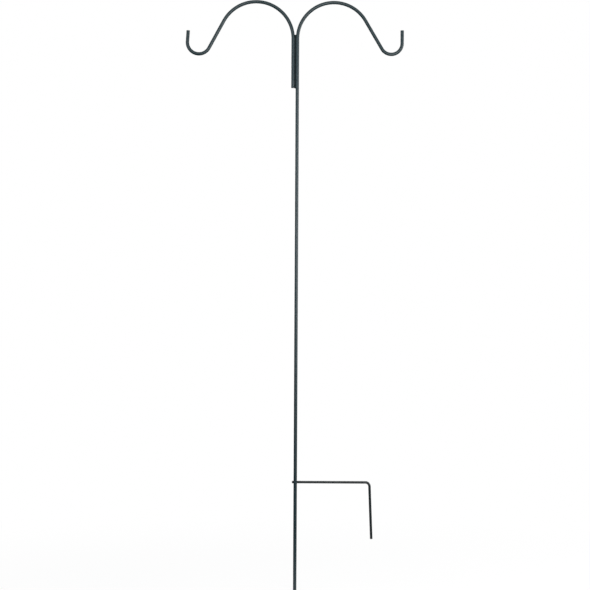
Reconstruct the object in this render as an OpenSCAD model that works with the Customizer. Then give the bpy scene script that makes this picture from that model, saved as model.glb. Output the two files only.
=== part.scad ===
// Garden stand with opposed crook arms for hanging plants, bent from round steel bar.
// Lengths are millimetres. Z = 0 is the soil line, X = 0 and Y = 0 the axis of the pole.
// The front is -Y, the foot step reaches out along +X and lies behind the pole.

/* [Bar stock] */
// Diameter of the round bar that makes the pole and both arms
bar_d = 9.5; // [8:0.5:12]
// Diameter of the lighter round rod that makes the foot step
step_d = 7; // [5:0.25:8.5]
// Chamfer on every sawn end
end_chamfer = 0.6; // [0.2:0.1:1.2]

/* [Pole] */
// Height of the straight pole above the soil line, up to the start of both arches
pole_h = 1225.5; // [900:0.5:1500]
// Length of the pole that stands in the soil
stake_depth = 293.5; // [200:0.5:400]

/* [Right arm] */
// Centre line radius of the right arch
right_arch_r = 100.4; // [80:0.1:130]
// Angle that the right arch bends through, in degrees
right_arch_angle = 149.5; // [140:0.5:160]
// Straight slope between the right arch and its hook
right_slope_len = 90; // [60:1:120]
// Centre line radius of the right hook
right_hook_r = 29.9; // [24:0.1:40]
// Angle that the right hook bends through, in degrees
right_hook_angle = 149.5; // [140:0.5:165]
// Straight tip above the right hook
right_tip_len = 36; // [20:1:60]

/* [Left arm] */
// Straight shank of the left arm, welded beside the pole
left_shank_len = 135.5; // [80:0.5:200]
// Gap between that shank and the pole, bridged by the welds
shank_gap = 2.6; // [1.6:0.1:3.4]
// Centre line radius of the left arch
left_arch_r = 101.8; // [80:0.1:130]
// Angle that the left arch bends through, in degrees
left_arch_angle = 151.5; // [140:0.5:160]
// Straight slope between the left arch and its hook
left_slope_len = 85; // [60:1:120]
// Centre line radius of the left hook
left_hook_r = 31.6; // [24:0.1:40]
// Angle that the left hook bends through, in degrees
left_hook_angle = 155; // [140:0.5:165]
// Straight tip above the left hook
left_tip_len = 31; // [20:1:60]

/* [Foot step] */
// Distance from the pole's axis to the corner where the step's two straight runs would meet
step_span = 204.6; // [120:0.1:300]
// How far the step's free end stands out past the pole's axis
step_overhang = 9.1; // [7:0.1:20]
// Centre line radius of the step's bend
step_bend_r = 11; // [7:0.5:25]
// Depth of the leg's end below the soil line
leg_depth = 152.5; // [80:0.5:190]
// Lean of the leg away from the pole, in degrees
leg_splay = 2.2; // [0:0.1:8]

/* [Welds] */
// Radius of the two long beads between the arms
arm_bead_r = 2.8; // [2.4:0.1:3.4]
// Depth of those beads' faces behind the front and back of the bars
arm_weld_recess = 2.2; // [1.8:0.1:2.6]
// How far the long beads climb into the crotch above the start of the arches
crotch_weld_h = 12; // [4:0.5:14]
// How far the long beads run out past the shank's lower end
arm_weld_tail = 0.8; // [0:0.1:2]
// Gap left at the root between the front bead and the back bead
weld_root_gap = 0.8; // [0.4:0.1:1.4]
// Radius of the two short beads that hold the step on the pole
step_bead_r = 2.3; // [2:0.1:3]
// Length of those short beads
step_bead_len = 8; // [6.5:0.1:9]
// How deep the short beads run into the pole and the step
step_weld_bite = 1.4; // [0.8:0.1:1.6]

/* [Hidden] */

// Facets of a bar's section and of a full turn of a bend
section_fn = 48;
bend_fn = 144;

// Faint swell where a bend meets a straight run, and the gap between the two inside it
join_proud = 0.04;
join_gap = 0.2;

// Colours of the coated bars, the lighter rod and the weld beads
bar_colour = "#3b494b";
step_colour = "#2f3638";
weld_colour = "#232d2e";

// Places that the pieces share
shank_x = -(bar_d + shank_gap);
seam_x = shank_x / 2;
shank_end_z = pole_h - left_shank_len;
step_y = (bar_d + step_d) / 2;
step_z = step_d / 2;

// Bending schedules: each step is [straight run, bend radius, turn in degrees].
// A turn above zero bends towards +X of the bar's own frame, one below zero towards -X.
main_steps = [
    [stake_depth + pole_h, right_arch_r, right_arch_angle],
    [right_slope_len, right_hook_r, -right_hook_angle],
    [right_tip_len, 0, 0]
];
left_steps = [
    [left_shank_len, left_arch_r, left_arch_angle],
    [left_slope_len, left_hook_r, -left_hook_angle],
    [left_tip_len, 0, 0]
];
step_turn = 90 - leg_splay;
step_tangent = step_bend_r * tan(step_turn / 2);
step_steps = [
    [step_overhang + step_span - step_tangent, step_bend_r, step_turn],
    [(leg_depth + step_z) / cos(leg_splay) - step_tangent, 0, 0]
];

// Straight round run up from z = 0. A free end is chamfered, a joined one stops just short.
module straight(d, length, start_free, end_free) {
    r = d / 2;
    start = start_free ? [[0, 0], [r - end_chamfer, 0], [r, end_chamfer]] : [[0, join_gap], [r, join_gap]];
    top = length - join_gap;
    end = end_free ? [[r, length - end_chamfer], [r - end_chamfer, length], [0, length]] : [[r, top], [0, top]];
    rotate_extrude($fn = section_fn)
        polygon(concat(start, end));
}

// Bend that leaves the origin along +Z and curves towards +X, or -X for a turn below zero
module bend(d, radius, turn) {
    translate([sign(turn) * radius, 0, 0])
        rotate([90, 0, turn > 0 ? 180 : 0])
            rotate_extrude(angle = abs(turn), $fn = bend_fn)
                translate([radius, 0])
                    circle(d = d, $fn = section_fn);
}

// Ball at the end of a bend, a hair wider than the bar, that joins it to the straight run
module join(d) {
    sphere(r = d / 2 + join_proud, $fn = section_fn);
}

// One bar, bent step by step as on a bending jig
module bent_bar(d, steps, k = 0) {
    length = steps[k][0];
    radius = steps[k][1];
    turn = steps[k][2];
    last = k == len(steps) - 1;
    straight(d, length, k == 0, last);
    if (k > 0)
        join(d);
    if (!last) {
        translate([0, 0, length]) {
            join(d);
            bend(d, radius, turn);
        }
        translate([sign(turn) * radius * (1 - cos(turn)), 0, length + radius * sin(abs(turn))])
            rotate([0, turn, 0])
                bent_bar(d, steps, k + 1);
    }
}

module main_bar() {
    translate([0, 0, -stake_depth])
        bent_bar(bar_d, main_steps);
}

module left_bar() {
    translate([shank_x, 0, shank_end_z])
        mirror([1, 0, 0])
            bent_bar(bar_d, left_steps);
}

module step_bar() {
    translate([-step_overhang, step_y, step_z])
        rotate([0, 90, 0])
            bent_bar(step_d, step_steps);
}

// Round bead along +Z with ball ends, its full length counted over the balls
module bead(radius, length) {
    translate([0, 0, radius])
        cylinder(r = radius, h = length - 2 * radius, $fn = section_fn);
    for (z = [radius, length - radius])
        translate([0, 0, z])
            sphere(r = radius, $fn = section_fn);
}

// Long bead deep in the groove in front of the seam, from the end of the shank into the crotch
module arm_bead() {
    bead_y = bar_d / 2 - arm_weld_recess - arm_bead_r;
    bead_z = shank_end_z - arm_weld_tail;
    bead_len = arm_weld_tail + left_shank_len + crotch_weld_h;
    difference() {
        translate([seam_x, -bead_y, bead_z])
            bead(arm_bead_r, bead_len);
        translate([seam_x - bar_d / 2, -weld_root_gap / 2, bead_z - bar_d / 2])
            cube([bar_d, bar_d, bead_len + bar_d]);
        main_bar();
        left_bar();
    }
}

// Short bead in the corner between the back of the pole and the step, above it or below it
module step_bead(side) {
    bead_y = bar_d / 2 + step_bead_r - step_weld_bite;
    reach = step_z + step_bead_r - step_weld_bite;
    rise = sqrt(pow(reach, 2) - pow(step_y - bead_y, 2));
    difference() {
        translate([-step_bead_len / 2, bead_y, step_z + side * rise])
            rotate([0, 90, 0])
                bead(step_bead_r, step_bead_len);
        main_bar();
        step_bar();
    }
}

module main_rod() {
    color(bar_colour) main_bar();
}

module left_arm() {
    color(bar_colour) left_bar();
}

module step_rod() {
    color(step_colour) step_bar();
}

module arm_weld_front() {
    color(weld_colour) arm_bead();
}

module arm_weld_back() {
    color(weld_colour) mirror([0, 1, 0]) arm_bead();
}

module step_weld_upper() {
    color(weld_colour) step_bead(1);
}

module step_weld_lower() {
    color(weld_colour) step_bead(-1);
}

main_rod();
left_arm();
step_rod();
arm_weld_front();
arm_weld_back();
step_weld_upper();
step_weld_lower();
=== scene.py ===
# Garden stand with two crook arms for hanging plants, bent from round steel bar and powder coated.
# Lengths are metres, in the CAD model's frame: the soil line is Z = 0, the pole stands on
# X = Y = 0, and -Y is the front.
import math

import bmesh
import bpy
from mathutils import Matrix, Vector


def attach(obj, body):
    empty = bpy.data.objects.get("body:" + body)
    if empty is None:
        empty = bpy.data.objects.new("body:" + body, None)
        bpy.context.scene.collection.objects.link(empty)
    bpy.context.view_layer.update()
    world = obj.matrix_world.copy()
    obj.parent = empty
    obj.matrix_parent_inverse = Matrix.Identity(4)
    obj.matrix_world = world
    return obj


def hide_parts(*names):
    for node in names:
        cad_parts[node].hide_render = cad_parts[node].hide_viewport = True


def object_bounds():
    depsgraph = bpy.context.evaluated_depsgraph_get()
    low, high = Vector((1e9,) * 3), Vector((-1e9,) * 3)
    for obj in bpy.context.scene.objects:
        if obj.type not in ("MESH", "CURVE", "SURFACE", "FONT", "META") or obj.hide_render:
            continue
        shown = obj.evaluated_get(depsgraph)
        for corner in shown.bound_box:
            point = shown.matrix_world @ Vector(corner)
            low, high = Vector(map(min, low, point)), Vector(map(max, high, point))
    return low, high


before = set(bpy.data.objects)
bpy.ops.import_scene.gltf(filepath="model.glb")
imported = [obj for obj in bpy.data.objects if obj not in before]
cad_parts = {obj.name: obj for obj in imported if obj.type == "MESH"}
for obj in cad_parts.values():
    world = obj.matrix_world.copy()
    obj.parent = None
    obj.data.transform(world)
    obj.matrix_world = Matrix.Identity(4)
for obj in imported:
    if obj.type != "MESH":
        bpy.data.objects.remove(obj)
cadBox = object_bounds()
print("frame:", ", ".join(sorted(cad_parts)))

mergeReach = 0.000002      # points closer together than this become one
ringReach = 0.00002        # how far a point may lie from the ring that it's picked with
quarterTurn = Matrix.Rotation(math.radians(90), 3, "Y")    # from a bar's heading to its side


def startPiece():
    # an operator acts on all that is selected, and the CAD nodes come in selected
    if bpy.context.mode != "OBJECT":
        bpy.ops.object.mode_set(mode="OBJECT")
    bpy.ops.object.select_all(action="DESELECT")


def editPiece(piece):
    bpy.context.view_layer.objects.active = piece
    bpy.ops.object.mode_set(mode="EDIT")
    bpy.ops.mesh.select_mode(type="VERT")


def pickVerts(piece, test):
    # selects the vertices that pass the test, with the edges and faces between them
    bpy.ops.mesh.select_mode(type="VERT")
    mesh = bmesh.from_edit_mesh(piece.data)
    for v in mesh.verts:
        v.select = test(v.co)
    mesh.select_flush_mode()
    bmesh.update_edit_mesh(piece.data)


def pickFaces(piece, test):
    bpy.ops.mesh.select_mode(type="FACE")
    mesh = bmesh.from_edit_mesh(piece.data)
    for f in mesh.faces:
        f.select = test(f)
    mesh.select_flush_mode()
    bmesh.update_edit_mesh(piece.data)


def finishMesh(piece, smoothBelow):
    # outward faces, the piece's place in its mesh, and smooth shading up to that many degrees
    editPiece(piece)
    bpy.ops.mesh.select_all(action="SELECT")
    bpy.ops.mesh.remove_doubles(threshold=mergeReach)
    bpy.ops.mesh.normals_make_consistent(inside=False)
    bpy.ops.object.mode_set(mode="OBJECT")
    bpy.ops.object.transform_apply(location=True, rotation=True, scale=True)
    bpy.ops.object.shade_smooth_by_angle(angle=math.radians(smoothBelow))


# Bars. Each starts as a ring of the bar's section, which is run out straight and spun round
# every bend.

def tagRing(piece, point, heading, along):
    # the newest ring notes its place on the bar before bending, which the coat's grain follows
    mesh = bmesh.from_edit_mesh(piece.data)
    layers = mesh.verts.layers.float_vector
    unbent = layers.get("unbent") or layers.new("unbent")
    across = quarterTurn @ heading
    for v in mesh.verts:
        if v.select:
            out = v.co - point
            v[unbent] = (out.dot(across), out.y, along + out.dot(heading))
    bmesh.update_edit_mesh(piece.data)


def sawEnd(piece, bar, point, heading, along):
    # closes a sawn end, rounds its rim and sets off the flat face, which has its own finish
    endSize = bar["radius"] + ringReach
    capDepth = bar["rim"] + ringReach
    sameWay = 0.999       # cosine between two directions that count as one

    def onRing(co):
        return (co - point).length < endSize

    def onFlat(face):
        middle = face.calc_center_median() - point
        return abs(face.normal.dot(heading)) > sameWay and middle.length < bar["radius"]

    def onCap(co):
        out = co - point
        return abs(out.dot(heading)) < capDepth and out.length < endSize + capDepth

    pickVerts(piece, onRing)
    bpy.ops.mesh.edge_face_add()
    bpy.ops.mesh.bevel(offset=bar["rim"], segments=3, affect="EDGES")
    pickFaces(piece, onFlat)
    bpy.ops.mesh.inset(thickness=bar["rim"] / 2)
    piece.active_material_index = 1
    bpy.ops.object.material_slot_assign()
    bpy.ops.mesh.inset(thickness=bar["radius"] / 3)
    pickVerts(piece, onCap)
    tagRing(piece, point, heading, along)


def bendBar(bar, coat, cutFace):
    startPiece()
    start, firstHeading = Vector(bar["start"]), Vector(bar["heading"])
    facing = Vector((0, 0, 1)).rotation_difference(firstHeading).to_euler()
    bpy.ops.mesh.primitive_circle_add(
        vertices=bar["sides"], radius=bar["radius"], location=start, rotation=facing)
    piece = bpy.context.object
    piece.name = bar["name"]
    piece.data.materials.append(coat)
    piece.data.materials.append(cutFace)
    bpy.ops.object.transform_apply(location=True, rotation=True, scale=True)
    editPiece(piece)
    bpy.ops.mesh.select_all(action="SELECT")
    point, heading, along = start, firstHeading, 0
    tagRing(piece, point, heading, along)
    for run, bendRadius, turn in bar["bends"]:
        steps = math.ceil(run / bar["ringGap"])
        for k in range(steps):
            move = heading * run / steps
            bpy.ops.mesh.extrude_region_move(TRANSFORM_OT_translate={"value": move})
            point = point + move
            along += run / steps
            tagRing(piece, point, heading, along)
        if bendRadius:
            steps = math.ceil(abs(turn) / bar["bendStep"])
            step = Matrix.Rotation(math.radians(turn / steps), 3, "Y")
            centre = point + quarterTurn @ heading * math.copysign(bendRadius, turn)
            for k in range(steps):
                # spin counts its angle the other way round from a rotation matrix
                bpy.ops.mesh.spin(
                    steps=1, angle=-math.radians(turn / steps), center=centre, axis=(0, 1, 0))
                point = centre + step @ (point - centre)
                heading = step @ heading
                along += bendRadius * math.radians(abs(turn) / steps)
                tagRing(piece, point, heading, along)
    sawEnd(piece, bar, point, heading, along)
    sawEnd(piece, bar, start, firstHeading, 0)
    bpy.ops.object.mode_set(mode="OBJECT")
    # how far each point lies from the rim of the nearer sawn end, where the coat is thin
    fromRim = piece.data.attributes.new("fromRim", "FLOAT", "POINT")
    for place, rim in zip(piece.data.attributes["unbent"].data, fromRim.data):
        x, y, z = place.vector
        rim.value = max(min(z, along - z), bar["radius"] - math.hypot(x, y))
    finishMesh(piece, smoothBelow=40)
    return piece


# Weld beads. One ripple is modelled and repeated along the bead, and both ends are domed.

def layBead(weld, coat):
    startPiece()
    lean = math.radians(weld["lean"])
    straight = weld["length"] - 2 * weld["dome"]
    count = round(straight / weld["pitch"])
    pitch = straight / count
    # the ring leans, so that each ripple shows as a crescent from the front
    bpy.ops.mesh.primitive_circle_add(
        vertices=weld["sides"], radius=weld["radius"], rotation=(lean, 0, 0))
    bead = bpy.context.object
    bead.name = weld["name"]
    bead.data.materials.append(coat)
    bpy.ops.object.transform_apply(location=True, rotation=True, scale=True)
    editPiece(bead)
    bpy.ops.mesh.select_all(action="SELECT")
    bpy.ops.transform.resize(value=(1, 1 / math.cos(lean), 1), center_override=(0, 0, 0))
    done, size = 0, 1
    for rise, swell in weld["ripple"]:
        if rise:
            bpy.ops.mesh.extrude_region_move(
                TRANSFORM_OT_translate={"value": (0, 0, (rise - done) * pitch)})
        # scaled about its own middle, so that the ring stays flat
        bpy.ops.transform.resize(value=[swell / size] * 3, center_override=(0, 0, rise * pitch))
        done, size = rise, swell
    bpy.ops.object.mode_set(mode="OBJECT")
    ripples = bead.modifiers.new("ripples", "ARRAY")
    ripples.count = count
    ripples.use_relative_offset = False
    ripples.use_constant_offset = True
    ripples.constant_offset_displace = (0, 0, pitch)
    ripples.use_merge_vertices = True
    ripples.merge_threshold = ringReach / 2
    bpy.ops.object.modifier_apply(modifier=ripples.name)
    editPiece(bead)
    for level, way in ((0, -1), (straight, 1)):
        pickVerts(bead, lambda co: abs(co.z - co.y * math.sin(lean) - level) < ringReach)
        done, size = 0, 1
        for angle in weld["domeRings"]:
            rise = weld["dome"] * math.sin(math.radians(angle))
            swell = math.cos(math.radians(angle))
            bpy.ops.mesh.extrude_region_move(
                TRANSFORM_OT_translate={"value": (0, 0, way * (rise - done))})
            bpy.ops.transform.resize(
                value=[swell / size] * 3, center_override=(0, 0, level + way * rise))
            done, size = rise, swell
        bpy.ops.mesh.extrude_region_move(
            TRANSFORM_OT_translate={"value": (0, 0, way * (weld["dome"] - done))})
        bpy.ops.mesh.merge(type="CENTER")
    if weld["root"] is not None:
        bpy.ops.mesh.select_all(action="SELECT")
        bpy.ops.mesh.bisect(
            plane_co=(0, weld["root"], 0), plane_no=(0, 1, 0), use_fill=True, clear_outer=True)
    bpy.ops.object.mode_set(mode="OBJECT")
    # the metal flowed unevenly: the ripples drift along the bead, and its face swells and sinks
    for way, depth in (("Z", weld["driftDepth"]), ("NORMAL", weld["flowDepth"])):
        flow = bpy.data.textures.new(weld["name"] + way, "CLOUDS")
        flow.noise_scale = weld["flowSize"]
        uneven = bead.modifiers.new("flow", "DISPLACE")
        uneven.texture = flow
        uneven.direction = way
        uneven.strength = depth
        bpy.ops.object.modifier_apply(modifier=uneven.name)
    bead.location = weld["start"]
    bead.rotation_euler = weld["turn"]
    finishMesh(bead, smoothBelow=60)
    return bead


def copyBead(bead, name, turn, shift):
    startPiece()
    bead.select_set(True)
    bpy.context.view_layer.objects.active = bead
    bpy.ops.object.duplicate()
    copy = bpy.context.object
    copy.name = name
    copy.rotation_euler = turn
    copy.location = shift
    finishMesh(copy, smoothBelow=60)
    return copy


# Materials. The groups hold what several finishes share.

anyTone = (0.1, 0.1, 0.1, 1)    # what a colour input holds until something is linked to it


def makeGroup(name, takes, gives):
    tree = bpy.data.node_groups.new(name, "ShaderNodeTree")
    for label, kind, value in takes:
        socket = tree.interface.new_socket(
            label, in_out="INPUT", socket_type="NodeSocket" + kind)
        if value is not None:
            socket.default_value = value
    for label, kind in gives:
        tree.interface.new_socket(label, in_out="OUTPUT", socket_type="NodeSocket" + kind)
    given = addNode(tree, "NodeGroupInput", (-900, 0))
    out = addNode(tree, "NodeGroupOutput", (700, 0))
    return tree, given, out


def addNode(tree, kind, spot, values=None, **settings):
    made = tree.nodes.new(kind)
    made.location = spot
    for name, value in settings.items():
        setattr(made, name, value)
    for name, value in (values or {}).items():
        made.inputs[name].default_value = value
    return made


def link(tree, *pairs):
    for (source, out), (target, into) in pairs:
        tree.links.new(source.outputs[out], target.inputs[into])


def orangePeelGroup():
    # the faint dimples and the finer grain of a satin powder coat
    tree, given, out = makeGroup(
        "orange peel",
        [("Place", "Vector", None), ("Dimple", "Float", 0.002), ("Grain", "Float", 0.0004),
         ("Even", "Float", 0.42), ("Spread", "Float", 0.1)],
        [("Height", "Float"), ("Roughness", "Float")])
    perDimple = addNode(tree, "ShaderNodeMath", (-680, 160), {0: 1.0}, operation="DIVIDE")
    perGrain = addNode(tree, "ShaderNodeMath", (-680, -40), {0: 1.0}, operation="DIVIDE")
    dimples = addNode(tree, "ShaderNodeTexNoise", (-480, 160), {"Detail": 1.5, "Roughness": 0.4})
    grain = addNode(tree, "ShaderNodeTexNoise", (-480, -80), {"Detail": 1.0})
    height = addNode(tree, "ShaderNodeMix", (-220, 80), {"Factor": 0.3}, data_type="FLOAT")
    # noise lies about 0.5, so that the roughness varies to both sides of Even
    gloss = addNode(tree, "ShaderNodeMath", (0, -60), {1: 0.5}, operation="SUBTRACT")
    rough = addNode(tree, "ShaderNodeMath", (220, -60), operation="MULTIPLY_ADD")
    link(tree,
         ((given, "Dimple"), (perDimple, 1)), ((given, "Grain"), (perGrain, 1)),
         ((given, "Place"), (dimples, "Vector")), ((given, "Place"), (grain, "Vector")),
         ((perDimple, 0), (dimples, "Scale")), ((perGrain, 0), (grain, "Scale")),
         ((dimples, "Fac"), (height, "A")), ((grain, "Fac"), (height, "B")),
         ((height, "Result"), (out, "Height")), ((height, "Result"), (gloss, 0)),
         ((gloss, 0), (rough, 0)), ((given, "Spread"), (rough, 1)), ((given, "Even"), (rough, 2)),
         ((rough, 0), (out, "Roughness")))
    return tree


def coatToneGroup():
    # slow drift of the coat's tone along the bar, with thinner and thicker places
    tree, given, out = makeGroup(
        "coat tone",
        [("Place", "Vector", None), ("Deep", "Color", anyTone), ("Pale", "Color", anyTone),
         ("Clouds", "Float", 9.0), ("Flecks", "Float", 700.0)],
        [("Color", "Color")])
    clouds = addNode(tree, "ShaderNodeTexNoise", (-620, 140), {"Detail": 4.0, "Roughness": 0.55})
    flecks = addNode(tree, "ShaderNodeTexNoise", (-620, -100), {"Detail": 2.0, "Roughness": 0.6})
    both = addNode(tree, "ShaderNodeMix", (-380, 60), {"Factor": 0.35}, data_type="FLOAT")
    spread = addNode(tree, "ShaderNodeMapRange", (-160, 60), {"From Min": 0.32, "From Max": 0.68})
    tone = addNode(tree, "ShaderNodeMix", (120, 60), data_type="RGBA")
    link(tree,
         ((given, "Place"), (clouds, "Vector")), ((given, "Place"), (flecks, "Vector")),
         ((given, "Clouds"), (clouds, "Scale")), ((given, "Flecks"), (flecks, "Scale")),
         ((clouds, "Fac"), (both, "A")), ((flecks, "Fac"), (both, "B")),
         ((both, "Result"), (spread, "Value")), ((spread, "Result"), (tone, "Factor")),
         ((given, "Deep"), (tone, "A")), ((given, "Pale"), (tone, "B")),
         ((tone, "Result"), (out, "Color")))
    return tree


def wornRimsGroup():
    # the coat is thin on a sawn rim and has rubbed through to the steel in broken spots
    tree, given, out = makeGroup(
        "worn rims",
        [("Place", "Vector", None), ("From Rim", "Float", 1.0), ("Color", "Color", anyTone),
         ("Roughness", "Float", 0.4), ("Reach", "Float", 0.0006),
         ("Spots", "Float", 1400.0), ("Amount", "Float", 0.5),
         ("Steel", "Color", (0.26, 0.26, 0.27, 1)), ("Steel Roughness", "Float", 0.45)],
        [("Color", "Color"), ("Roughness", "Float"), ("Metallic", "Float")])
    near = addNode(tree, "ShaderNodeMapRange", (-620, 160), {"To Min": 1.0, "To Max": 0.0})
    spots = addNode(tree, "ShaderNodeTexNoise", (-620, -120), {"Detail": 3.0, "Roughness": 0.6})
    broken = addNode(tree, "ShaderNodeMapRange", (-420, -120), {"From Min": 0.46, "From Max": 0.58})
    worn = addNode(tree, "ShaderNodeMath", (-220, 40), operation="MULTIPLY")
    mask = addNode(tree, "ShaderNodeMath", (-20, 40), operation="MULTIPLY")
    color = addNode(tree, "ShaderNodeMix", (260, 160), data_type="RGBA")
    rough = addNode(tree, "ShaderNodeMix", (260, -80), data_type="FLOAT")
    link(tree,
         ((given, "From Rim"), (near, "Value")), ((given, "Reach"), (near, "From Max")),
         ((given, "Place"), (spots, "Vector")), ((given, "Spots"), (spots, "Scale")),
         ((spots, "Fac"), (broken, "Value")),
         ((near, "Result"), (worn, 0)), ((broken, "Result"), (worn, 1)),
         ((worn, 0), (mask, 0)), ((given, "Amount"), (mask, 1)),
         ((mask, 0), (color, "Factor")), ((given, "Color"), (color, "A")),
         ((given, "Steel"), (color, "B")),
         ((mask, 0), (rough, "Factor")), ((given, "Roughness"), (rough, "A")),
         ((given, "Steel Roughness"), (rough, "B")),
         ((color, "Result"), (out, "Color")), ((rough, "Result"), (out, "Roughness")),
         ((mask, 0), (out, "Metallic")))
    return tree


def dustAndTopLightGroup():
    # a little dust lies on what faces up, thinner in patches; where the amount is raised, as on the
    # step, it is mostly a painted highlight of the light falling on the top
    tree, given, out = makeGroup(
        "settled dust and painted top light",
        [("Place", "Vector", None), ("Color", "Color", anyTone), ("Roughness", "Float", 0.4),
         ("Patches", "Float", 160.0), ("Amount", "Float", 0.03),
         ("Dust And Top Light", "Color", (0.42, 0.40, 0.37, 1))],
        [("Color", "Color"), ("Roughness", "Float")])
    facing = addNode(tree, "ShaderNodeNewGeometry", (-860, 240))
    part = addNode(tree, "ShaderNodeSeparateXYZ", (-680, 240))
    upward = addNode(tree, "ShaderNodeMapRange", (-480, 240), {"From Min": 0.25, "From Max": 1.0})
    patches = addNode(
        tree, "ShaderNodeTexNoise", (-680, -60), {"Detail": 5.0, "Roughness": 0.65})
    thin = addNode(tree, "ShaderNodeMapRange", (-480, -60), {"From Min": 0.35, "From Max": 0.65})
    lies = addNode(tree, "ShaderNodeMath", (-260, 100), operation="MULTIPLY")
    mask = addNode(tree, "ShaderNodeMath", (-60, 100), operation="MULTIPLY")
    color = addNode(tree, "ShaderNodeMix", (240, 160), data_type="RGBA")
    rough = addNode(tree, "ShaderNodeMath", (240, -80), operation="MULTIPLY_ADD")
    link(tree,
         ((facing, "Normal"), (part, 0)), ((part, "Z"), (upward, "Value")),
         ((given, "Place"), (patches, "Vector")), ((given, "Patches"), (patches, "Scale")),
         ((patches, "Fac"), (thin, "Value")),
         ((upward, "Result"), (lies, 0)), ((thin, "Result"), (lies, 1)),
         ((lies, 0), (mask, 0)), ((given, "Amount"), (mask, 1)),
         ((mask, 0), (color, "Factor")), ((given, "Color"), (color, "A")),
         ((given, "Dust And Top Light"), (color, "B")),
         ((mask, 0), (rough, 0)), ((mask, 0), (rough, 1)), ((given, "Roughness"), (rough, 2)),
         ((color, "Result"), (out, "Color")), ((rough, 0), (out, "Roughness")))
    return tree


def poresGroup():
    # pinholes in the coat, few on a bar and more on a weld
    tree, given, out = makeGroup(
        "pores",
        [("Place", "Vector", None), ("Height", "Float", 0.0), ("Per Metre", "Float", 300.0),
         ("Size", "Float", 0.1), ("Depth", "Float", 2.0)],
        [("Height", "Float")])
    cells = addNode(tree, "ShaderNodeTexVoronoi", (-560, 0))
    hole = addNode(
        tree, "ShaderNodeMapRange", (-320, 0), {"To Min": 1.0, "To Max": 0.0},
        interpolation_type="SMOOTHSTEP")
    deep = addNode(tree, "ShaderNodeMath", (-100, 0), operation="MULTIPLY")
    height = addNode(tree, "ShaderNodeMath", (140, 0), operation="SUBTRACT")
    link(tree,
         ((given, "Place"), (cells, "Vector")), ((given, "Per Metre"), (cells, "Scale")),
         ((cells, "Distance"), (hole, "Value")), ((given, "Size"), (hole, "From Max")),
         ((hole, "Result"), (deep, 0)), ((given, "Depth"), (deep, 1)),
         ((given, "Height"), (height, 0)), ((deep, 0), (height, 1)), ((height, 0), (out, "Height")))
    return tree


def sawMarksGroup():
    # the saw left fine, slightly wavering lines across the end, still felt through the coat
    tree, given, out = makeGroup(
        "saw marks",
        [("Place", "Vector", None), ("Height", "Float", 0.0), ("Lines", "Float", 520.0),
         ("Depth", "Float", 3.0)],
        [("Height", "Float")])
    lines = addNode(
        tree, "ShaderNodeTexWave", (-480, 0),
        {"Distortion": 2.5, "Detail": 3.0, "Detail Scale": 0.6})
    deep = addNode(tree, "ShaderNodeMath", (-200, 0), operation="MULTIPLY_ADD")
    link(tree,
         ((given, "Place"), (lines, "Vector")), ((given, "Lines"), (lines, "Scale")),
         ((lines, "Fac"), (deep, 0)), ((given, "Depth"), (deep, 1)), ((given, "Height"), (deep, 2)),
         ((deep, 0), (out, "Height")))
    return tree


finishes = {
    "peel": orangePeelGroup(),
    "tone": coatToneGroup(),
    "rims": wornRimsGroup(),
    "dustAndTopLight": dustAndTopLightGroup(),
    "pores": poresGroup(),
    "saw": sawMarksGroup(),
}


def placeFinish(tree, finish, spot, values):
    return addNode(tree, "ShaderNodeGroup", spot, values, node_tree=finishes[finish])


def emptyTree(owner):
    # the node tree of a material or of the world, cleared
    owner.use_nodes = True
    owner.node_tree.nodes.clear()
    return owner.node_tree


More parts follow.
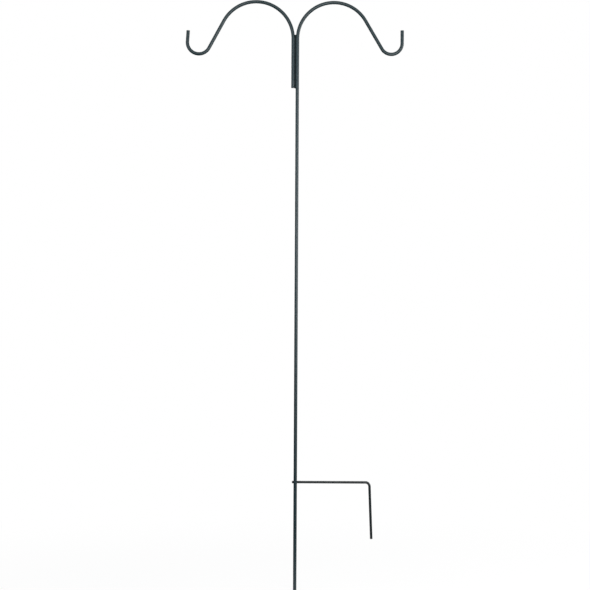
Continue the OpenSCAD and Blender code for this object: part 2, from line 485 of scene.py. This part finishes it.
def coatMaterial(name, look, place, sawn=False):
    # a bar's coat follows the bar and wears at its rims, a bead's coat lies in Object coordinates
    material = bpy.data.materials.new(name)
    tree = emptyTree(material)
    if place == "unbent":
        where = addNode(tree, "ShaderNodeAttribute", (-1500, 0), attribute_name="unbent"), "Vector"
    else:
        where = addNode(tree, "ShaderNodeTexCoord", (-1500, 0)), "Object"
    skin = placeFinish(tree, "peel", (-1200, -200), {
        "Dimple": look["dimple"], "Grain": look["grain"],
        "Even": look["even"], "Spread": look["spread"]})
    shade = placeFinish(tree, "tone", (-1200, 200), {
        "Deep": (*look["deep"], 1), "Pale": (*look["pale"], 1), "Flecks": look["flecks"]})
    dustAndTopLight = placeFinish(tree, "dustAndTopLight", (-600, 100), {"Amount": look["dustAndTopLight"]})
    pores = placeFinish(tree, "pores", (-900, -360), {
        "Per Metre": look["pores"], "Size": look["poreSize"], "Depth": look["poreDepth"]})
    bump = addNode(
        tree, "ShaderNodeBump", (-300, -360), {"Strength": 1.0, "Distance": look["depth"]})
    coat = addNode(
        tree, "ShaderNodeBsdfPrincipled", (0, 0), {"Specular IOR Level": look["shine"]})
    end = addNode(tree, "ShaderNodeOutputMaterial", (300, 0))
    link(tree,
         *[(where, (finish, "Place")) for finish in (skin, shade, dustAndTopLight, pores)],
         ((skin, "Height"), (pores, "Height")), ((dustAndTopLight, "Color"), (coat, "Base Color")),
         ((dustAndTopLight, "Roughness"), (coat, "Roughness")), ((bump, "Normal"), (coat, "Normal")),
         ((coat, "BSDF"), (end, "Surface")))
    if place == "unbent":
        rim = addNode(tree, "ShaderNodeAttribute", (-1200, 0), attribute_name="fromRim")
        worn = placeFinish(
            tree, "rims", (-900, 100), {"Reach": look["rimReach"], "Amount": look["rimWear"]})
        link(tree,
             (where, (worn, "Place")), ((rim, "Fac"), (worn, "From Rim")),
             ((shade, "Color"), (worn, "Color")), ((skin, "Roughness"), (worn, "Roughness")),
             ((worn, "Color"), (dustAndTopLight, "Color")), ((worn, "Roughness"), (dustAndTopLight, "Roughness")),
             ((worn, "Metallic"), (coat, "Metallic")))
    else:
        link(tree, ((shade, "Color"), (dustAndTopLight, "Color")), ((skin, "Roughness"), (dustAndTopLight, "Roughness")))
    if sawn:
        saw = placeFinish(
            tree, "saw", (-600, -360), {"Lines": look["sawLines"], "Depth": look["sawDepth"]})
        link(tree,
             (where, (saw, "Place")), ((pores, "Height"), (saw, "Height")),
             ((saw, "Height"), (bump, "Height")))
    else:
        link(tree, ((pores, "Height"), (bump, "Height")))
    return material


barLook = {
    "deep": (0.009, 0.024, 0.029),   # the coat's tone drifts between these two
    "pale": (0.013, 0.034, 0.041),
    "flecks": 1500,                  # fine flecks of tone to the metre
    "shine": 0.5,
    "even": 0.4, "spread": 0.1,      # roughness, and how far it varies
    "dimple": 0.002, "grain": 0.0004, "depth": 0.00005,   # sizes of the relief, and its height
    "pores": 90, "poreSize": 0.03, "poreDepth": 0.7,      # cells to the metre, radius in a cell
    "rimReach": 0.0007, "rimWear": 0.45,                  # how far in, and how much, rims wear
    "sawLines": 420, "sawDepth": 2,
    "dustAndTopLight": 0.02,
}
barCoat = coatMaterial("barCoat", barLook, "unbent")
cutCoat = coatMaterial("cutCoat", barLook, "unbent", sawn=True)
# the weld coat's darker tone is painted shade, for the groove between the two bars where the arm
# beads lie
weldPaintedShadeLook = dict(barLook)
weldPaintedShadeLook.update({
    "deep": (0.004, 0.008, 0.009),
    "pale": (0.008, 0.014, 0.016),
    "shine": 0.2,
    "even": 0.55,
    "pores": 420, "poreSize": 0.16, "poreDepth": 1.6,
    "dustAndTopLight": 0.01,
})
weldCoat = coatMaterial("weldCoat", weldPaintedShadeLook, "object")
stepPaintedLightLook = dict(barLook)
# the step rod's coat is darker than the bar's, a painted shade that keeps its leg as dark as the
# lower pole, and its raised dust is mostly a painted highlight of the light falling on its top
stepPaintedLightLook.update({"deep": (0.004, 0.010, 0.011), "pale": (0.007, 0.015, 0.017), "dustAndTopLight": 0.15})
stepCoat = coatMaterial("stepCoat", stepPaintedLightLook, "unbent")
stepCutCoat = coatMaterial("stepCutCoat", stepPaintedLightLook, "unbent", sawn=True)

pole = {
    "name": "poleBar",
    "radius": 0.00475,
    "sides": 40,
    "rim": 0.0006,        # rounding of the sawn ends
    "ringGap": 0.04,      # longest step on a straight run
    "bendStep": 2.5,      # degrees between rings in a bend
    "start": (0, 0, -0.2935),
    "heading": (0, 0, 1),
    # straight run, bend radius and turn, from the stake's end to the right tip
    "bends": [(1.519, 0.1004, 149.5), (0.090, 0.0299, -149.5), (0.036, 0, 0)],
}
poleBar = bendBar(pole, barCoat, cutCoat)

leftArm = dict(pole)
leftArm.update({
    "name": "leftArmBar",
    "start": (-0.0121, 0, 1.09),
    "bends": [(0.1355, 0.1018, -151.5), (0.085, 0.0316, 155), (0.031, 0, 0)],
})
leftArmBar = bendBar(leftArm, barCoat, cutCoat)

footStep = {
    "name": "footStepRod",
    "radius": 0.0035,
    "sides": 32,
    "rim": 0.0006,
    "ringGap": 0.03,
    "bendStep": 4,
    "start": (-0.0091, 0.00825, 0.0035),
    "heading": (1, 0, 0),
    "bends": [(0.203114, 0.011, 87.8), (0.14553, 0, 0)],
}
footStepRod = bendBar(footStep, stepCoat, stepCutCoat)
print("bars bent: pole, left arm, foot step")

armWeld = {
    "name": "armWeldFront",
    "radius": 0.0028,
    "sides": 28,
    "length": 0.1483,
    "dome": 0.0022,              # length of each domed end
    "domeRings": (25, 50, 72),   # degrees up the dome
    "pitch": 0.0021,             # length of a ripple
    "lean": 28,                  # degrees that the ripples lean
    "root": -0.00065,            # Y behind which the bead is cut away
    # each ring's rise within one ripple, and its size
    "ripple": [(0.0, 0.94), (0.08, 1.01), (0.4, 1.03), (0.75, 1.0), (1.0, 0.94)],
    # size of the uneven places, and how far they shift the face outwards and along
    "flowSize": 0.006, "flowDepth": 0.0003, "driftDepth": 0.0012,
    "start": (-0.00605, 0.00025, 1.0914),
    "turn": (0, 0, 0),
}
armWeldFront = layBead(armWeld, weldCoat)
armWeldBack = copyBead(armWeldFront, "armWeldBack", (0, 0, math.pi), (-0.0121, 0, 0))

stepWeld = {
    "name": "stepWeldUpper",
    "radius": 0.0023,
    "sides": 28,
    "length": 0.008,
    "dome": 0.0013,
    "domeRings": (25, 50, 72),
    "pitch": 0.0011,
    "lean": 20,
    "root": None,                # kept whole
    "ripple": [(0.0, 0.93), (0.1, 1.01), (0.4, 1.03), (0.75, 1.0), (1.0, 0.93)],
    "flowSize": 0.003, "flowDepth": 0.0004, "driftDepth": 0.0008,
    "start": (-0.0027, 0.00565, 0.007049),
    "turn": (0, math.pi / 2, 0),
}
stepWeldUpper = layBead(stepWeld, weldCoat)
stepWeldLower = copyBead(stepWeldUpper, "stepWeldLower", (math.pi, 0, 0), (0, 0.0113, 0.007))
print("welds laid")

standIns = [
    (poleBar, "main_rod", "bar_coat"),
    (leftArmBar, "left_arm", "bar_coat"),
    (footStepRod, "step_rod", "step_coat"),
    (armWeldFront, "arm_weld_front", "weld_coat"),
    (armWeldBack, "arm_weld_back", "weld_coat"),
    (stepWeldUpper, "step_weld_upper", "weld_coat"),
    (stepWeldLower, "step_weld_lower", "weld_coat"),
]
for piece, node, slot in standIns:
    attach(piece, "root")
    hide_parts(node)

# Stage, lights and camera

stage = {
    "floorSize": 40,
    "floorColor": (0.12, 0.12, 0.12, 1),
    "floorGlow": 0.87,           # with the lamps' light on its colour the paper comes to white
    "floorFade": (0.4, 1.6),     # from the pole, where the floor fades into the background
    "ambient": 0.4,
    "background": 1.0,
    "screenReach": 3.0, "screenTop": 2.4,
    "screenGap": 0.001,          # between the screen and the floor
    "screenHole": 0.35,          # radius of the white floor left under the stand
    "screenSides": 96,
    "screenFade": (0.2, 1.7),    # heights between which it goes from its low to its high level
    "screenLow": 0.02, "screenHigh": 0.45,
}


def backgroundRays(tree, spot):
    # 1 for the rays that see the background: from the camera, in a gloss, through glass
    path = addNode(tree, "ShaderNodeLightPath", spot)
    first = addNode(tree, "ShaderNodeMath", (spot[0] + 200, spot[1]), operation="MAXIMUM")
    both = addNode(tree, "ShaderNodeMath", (spot[0] + 400, spot[1]), operation="MAXIMUM")
    link(tree,
         ((path, "Is Camera Ray"), (first, 0)), ((path, "Is Glossy Ray"), (first, 1)),
         ((first, 0), (both, 0)), ((path, "Is Transmission Ray"), (both, 1)))
    return both


world = bpy.data.worlds.new("studio")
bpy.context.scene.world = world
tree = emptyTree(world)
seen = backgroundRays(tree, (-800, 0))
level = addNode(
    tree, "ShaderNodeMapRange", (-200, 0),
    {"To Min": stage["ambient"], "To Max": stage["background"]})
glow = addNode(tree, "ShaderNodeBackground", (0, 0), {"Color": (1, 1, 1, 1)})
end = addNode(tree, "ShaderNodeOutputWorld", (200, 0))
link(tree,
     ((seen, 0), (level, "Value")), ((level, "Result"), (glow, "Strength")),
     ((glow, 0), (end, "Surface")))

startPiece()
floorLevel = cadBox[0].z
bpy.ops.mesh.primitive_plane_add(size=stage["floorSize"], location=(0, 0, floorLevel))
floor = bpy.context.object
floor.name = "floor"
paper = bpy.data.materials.new("paper")
tree = emptyTree(paper)
seen = backgroundRays(tree, (-800, -200))
glowLevel = addNode(
    tree, "ShaderNodeMath", (-200, -200), {1: stage["floorGlow"]}, operation="MULTIPLY")
matt = addNode(tree, "ShaderNodeBsdfDiffuse", (0, 100), {"Color": stage["floorColor"]})
shine = addNode(tree, "ShaderNodeEmission", (0, -100))
both = addNode(tree, "ShaderNodeAddShader", (200, 0))
far = addNode(tree, "ShaderNodeEmission", (200, -200))
where = addNode(tree, "ShaderNodeTexCoord", (-500, 400))
distance = addNode(tree, "ShaderNodeVectorMath", (-300, 400), operation="LENGTH")
fade = addNode(
    tree, "ShaderNodeMapRange", (-100, 400),
    {"From Min": stage["floorFade"][0], "From Max": stage["floorFade"][1]},
    interpolation_type="SMOOTHSTEP")
blend = addNode(tree, "ShaderNodeMixShader", (400, 0))
end = addNode(tree, "ShaderNodeOutputMaterial", (600, 0))
link(tree,
     ((seen, 0), (glowLevel, 0)), ((glowLevel, 0), (shine, "Strength")),
     ((seen, 0), (far, "Strength")),
     ((matt, 0), (both, 0)), ((shine, 0), (both, 1)),
     ((where, "Object"), (distance, 0)), ((distance, "Value"), (fade, "Value")),
     ((fade, "Result"), (blend, 0)), ((both, 0), (blend, 1)), ((far, 0), (blend, 2)),
     ((blend, 0), (end, "Surface")))
floor.data.materials.append(paper)

# a glowing screen round the stand that only the gloss of the coat sees, a painted reflection in the
# coat: dark below, paler towards its top
paintedReflectionScreen = bpy.data.materials.new("paintedReflectionScreen")
tree = emptyTree(paintedReflectionScreen)
where = addNode(tree, "ShaderNodeTexCoord", (-800, 0))
part = addNode(tree, "ShaderNodeSeparateXYZ", (-600, 0))
rise = addNode(
    tree, "ShaderNodeMapRange", (-400, 0),
    {"From Min": stage["screenFade"][0], "From Max": stage["screenFade"][1],
     "To Min": stage["screenLow"], "To Max": stage["screenHigh"]},
    interpolation_type="SMOOTHSTEP")
dim = addNode(tree, "ShaderNodeEmission", (-200, 0))
end = addNode(tree, "ShaderNodeOutputMaterial", (0, 0))
link(tree,
     ((where, "Object"), (part, 0)), ((part, "Z"), (rise, "Value")),
     ((rise, "Result"), (dim, "Strength")), ((dim, 0), (end, "Surface")))
startPiece()
foot = floorLevel + stage["screenGap"]
bpy.ops.mesh.primitive_cylinder_add(
    vertices=stage["screenSides"], radius=stage["screenReach"], depth=stage["screenTop"] - foot,
    end_fill_type="NGON", location=(0, 0, (stage["screenTop"] + foot) / 2))
screen = bpy.context.object
screen.name = "screen"
bpy.ops.object.transform_apply(location=True)
editPiece(screen)
pickFaces(screen, lambda face: face.normal.z < -0.5)    # its own floor, which gets the hole
bpy.ops.mesh.inset(thickness=stage["screenReach"] - stage["screenHole"])
bpy.ops.mesh.delete(type="FACE")
bpy.ops.object.mode_set(mode="OBJECT")
screen.visible_camera = screen.visible_diffuse = False
screen.visible_shadow = screen.visible_transmission = False
screen.data.materials.append(paintedReflectionScreen)

lamps = [
    # name, place, aimed at, width, height, watts, colour
    ("front", (0.5, -1.93, 0.8), (0, 0, 0.9), 0.9, 0.8, 21, (1, 1, 1)),
    ("side", (2.04, 0, 0.9), (0, 0, 0.9), 1.9, 1.2, 32, (1, 1, 1)),
    ("fill", (-1.6, -1.3, 1.05), (0, 0, 0.9), 1.2, 1.0, 9, (0.75, 0.92, 1)),
    ("top", (-0.1, -1.6, 2.3), (0, 0, 0.5), 1.6, 1.2, 10, (1, 1, 1)),
    ("back", (-0.5, 2.0, 1.1), (0, 0, 0.8), 1.4, 1.2, 14, (1, 1, 1)),
]
for name, place, aim, width, height, watts, color in lamps:
    lamp = bpy.data.lights.new(name, "AREA")
    lamp.shape = "RECTANGLE"
    lamp.size, lamp.size_y = width, height
    lamp.energy = watts
    lamp.color = color
    holder = bpy.data.objects.new(name, lamp)
    holder.location = place
    holder.rotation_euler = (Vector(aim) - Vector(place)).to_track_quat("-Z", "Y").to_euler()
    bpy.context.scene.collection.objects.link(holder)

view = {
    "place": (-0.0033, -4.5156, 0.5198),
    "lens": 100, "sensor": 36,     # millimetres
    "roll": 0.3,                   # degrees, as the photograph leans
}
eye = bpy.data.cameras.new("photoView")
eye.lens = view["lens"]
eye.sensor_width = view["sensor"]
camera = bpy.data.objects.new("photoView", eye)
bpy.context.scene.collection.objects.link(camera)
camera.location = view["place"]
camera.rotation_euler = (Matrix.Rotation(math.radians(-view["roll"]), 3, "Y")
                         @ Matrix.Rotation(math.radians(90), 3, "X")).to_euler()
bpy.context.scene.camera = camera
bpy.context.scene.view_settings.view_transform = "Standard"
